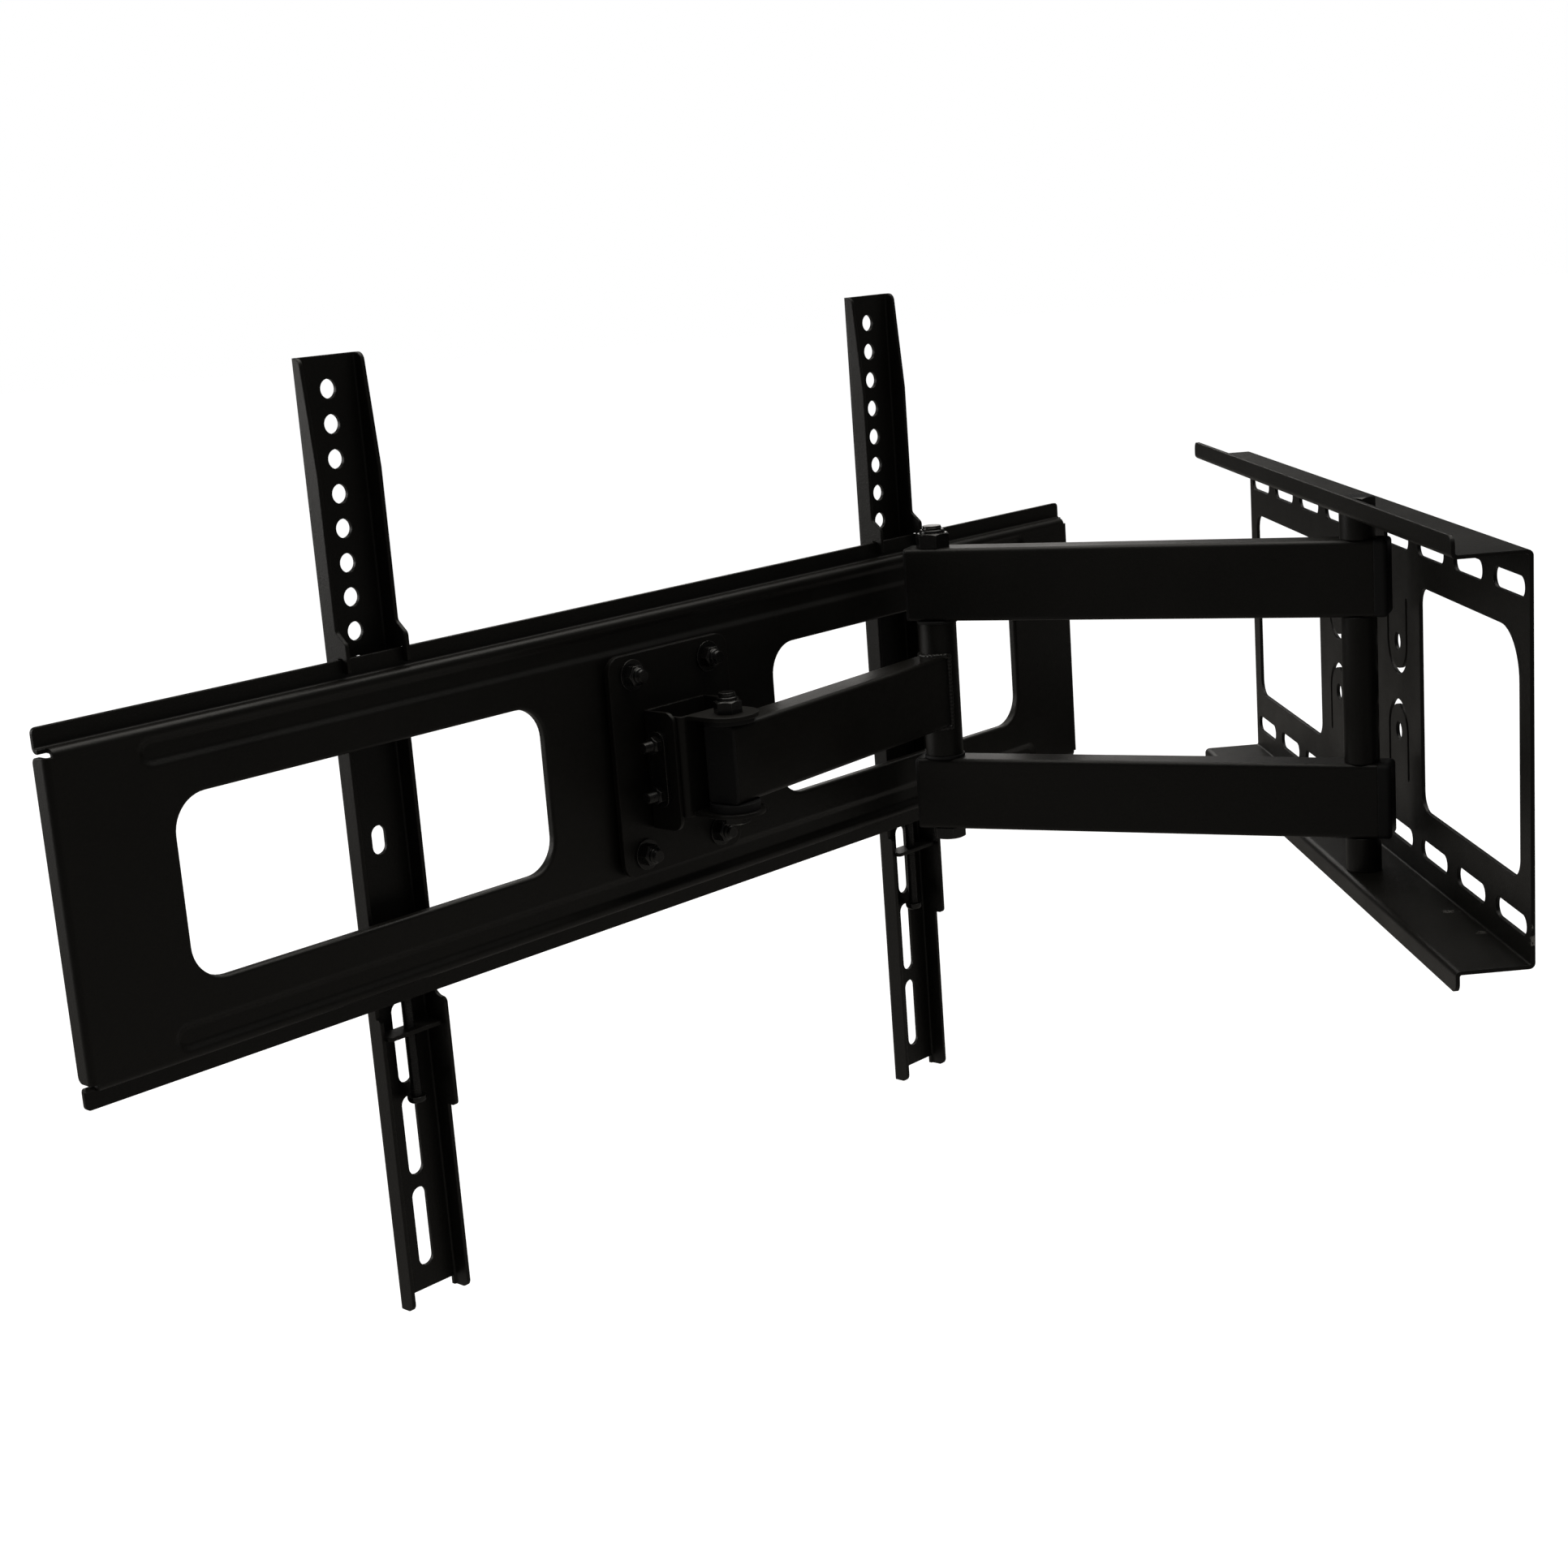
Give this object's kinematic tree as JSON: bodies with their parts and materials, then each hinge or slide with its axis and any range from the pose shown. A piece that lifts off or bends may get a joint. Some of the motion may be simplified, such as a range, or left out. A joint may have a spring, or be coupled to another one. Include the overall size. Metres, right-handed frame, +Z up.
{
  "type": "full motion tv wall mount",
  "caption": "Full motion TV wall mount: slotted wall plate, paired rear arms, front arm, swivel and tilt head, TV plate with two hooked rails.",
  "frame": {"origin": "centre of the wall plate's back face", "axes": "+Y into the wall, +Z up, +X along the wall plate towards the end nearer the picture's camera"},
  "size_m": [0.5822, 0.6584, 0.4618],
  "materials": {
    "black_coat": "fine textured matt black powder coat",
    "black_zinc": "bright black zinc plating",
    "black_plastic": "matt moulded",
    "bare_steel": "plain drawn tube"
  },
  "bodies": {
    "wall_bracket": {"wall_plate": "black_coat", "wall_pivot_bolt": "black_zinc", "wall_pivot_nut": "black_zinc", "wall_pivot_spacers": "black_coat"},
    "rear_arms": {"rear_arm_upper": "black_coat", "rear_arm_lower": "black_coat", "rear_arm_bushes": "bare_steel", "rear_arm_wall_caps": "black_plastic", "rear_arm_elbow_caps": "black_plastic", "rear_pivot_sleeve": "black_coat", "elbow_bolt": "black_zinc", "elbow_nut": "black_zinc"},
    "front_arm": {"front_arm": "black_coat", "elbow_tube": "black_coat", "elbow_slip_rings": "black_plastic", "front_arm_bush": "bare_steel", "front_arm_cap": "black_plastic"},
    "swivel_head": {"swivel_bracket": "black_coat", "head_bolt": "black_zinc", "head_nut": "black_zinc", "head_slip_washers": "black_plastic", "tilt_studs": "black_zinc", "tilt_nuts": "black_zinc", "tilt_clamp_plates": "black_zinc"},
    "tilt_head": {"tilt_bracket": "black_coat", "adapter_plate": "black_coat", "level_bolts": "black_zinc", "level_washers": "black_zinc", "level_nuts": "black_zinc"},
    "tv_plate": {"tv_plate": "black_coat"},
    "rail_left": {"rail_left": "black_coat", "lock_bridge_left": "black_coat"},
    "rail_right": {"rail_right": "black_coat", "lock_bridge_right": "black_coat"},
    "lock_screw_left": {"lock_screw_left": "black_zinc"},
    "lock_screw_right": {"lock_screw_right": "black_zinc"}
  },
  "joints": [
    {"name": "arm_swing", "type": "hinge", "parent": "wall_bracket", "child": "rear_arms", "pos_m": [0.0685, -0.026, 0], "axis": [0, 0, -1], "range_deg": [-60, 18]},
    {"name": "elbow_fold", "type": "hinge", "parent": "rear_arms", "child": "front_arm", "pos_m": [-0.03156, -0.23863, 0], "axis": [0, 0, 1], "range_deg": [-60, 55]},
    {"name": "head_swivel", "type": "hinge", "parent": "front_arm", "child": "swivel_head", "pos_m": [0.11509, -0.36411, 0.002], "axis": [0, 0, 1], "range_deg": [-1, 45]},
    {"name": "head_tilt", "type": "hinge", "parent": "swivel_head", "child": "tilt_head", "pos_m": [0.09469, -0.38371, 0.0132], "axis": [0.6929, -0.721, 0], "range_deg": [-5, 6]},
    {"name": "level_turn", "type": "hinge", "parent": "tilt_head", "child": "tv_plate", "pos_m": [0.08243, -0.39549, 0.002], "axis": [0.721, 0.6929, 0], "range_deg": [-3, 3]},
    {"name": "rail_left_slide", "type": "slide", "parent": "tv_plate", "child": "rail_left", "axis": [0.6929, -0.721, 0], "range_m": [-0.1, 0.15]},
    {"name": "rail_right_slide", "type": "slide", "parent": "tv_plate", "child": "rail_right", "axis": [-0.6929, 0.721, 0], "range_m": [-0.1, 0.12]},
    {"name": "lock_screw_left_travel", "type": "slide", "parent": "rail_left", "child": "lock_screw_left", "axis": [0, 0, -1], "range_m": [0, 0.008]},
    {"name": "lock_screw_right_travel", "type": "slide", "parent": "rail_right", "child": "lock_screw_right", "axis": [0, 0, -1], "range_m": [0, 0.008]}
  ]
}
